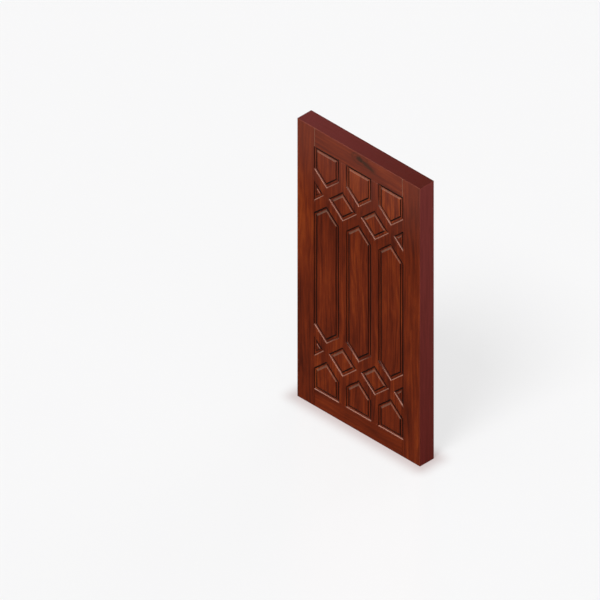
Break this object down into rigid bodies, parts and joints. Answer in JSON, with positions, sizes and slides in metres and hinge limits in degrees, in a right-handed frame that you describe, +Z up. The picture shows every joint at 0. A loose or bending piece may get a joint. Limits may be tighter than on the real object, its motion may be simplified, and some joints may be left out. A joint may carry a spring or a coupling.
{
  "type": "solid wood door leaf",
  "caption": "Tall solid wood door leaf: moulded frame and pierced lattice holding raised pentagonal, diamond, triangular and long hexagonal panels.",
  "frame": {"origin": "centre of the leaf's underside, halfway through its width and its thickness", "axes": "+Z up along the leaf's height, +X along its width to the right seen from the front, +Y through its thickness towards the back; the moulded front faces -Y"},
  "size_m": [1.04, 0.12, 2.04],
  "materials": {
    "stile_wood": "red-brown stained hardwood, upright grain, glossy varnish",
    "rail_wood": "red-brown stained hardwood, level grain with a knot, glossy varnish",
    "lattice_wood": "red-brown stained hardwood, upright grain, glossy varnish",
    "panel_wood": "red-brown to orange-brown stained hardwood, upright grain, glossy varnish"
  },
  "bodies": {
    "root": {"left_stile": "stile_wood", "right_stile": "stile_wood", "top_rail": "rail_wood", "bottom_rail": "rail_wood", "lattice": "lattice_wood", "upper_pentagon_1": "panel_wood", "upper_pentagon_2": "panel_wood", "upper_pentagon_3": "panel_wood", "long_panel_1": "panel_wood", "long_panel_2": "panel_wood", "long_panel_3": "panel_wood", "lower_pentagon_1": "panel_wood", "lower_pentagon_2": "panel_wood", "lower_pentagon_3": "panel_wood", "upper_diamond_1": "panel_wood", "upper_diamond_2": "panel_wood", "upper_triangle_left": "panel_wood", "upper_triangle_right": "panel_wood", "lower_diamond_1": "panel_wood", "lower_diamond_2": "panel_wood", "lower_triangle_left": "panel_wood", "lower_triangle_right": "panel_wood"}
  },
  "joints": []
}
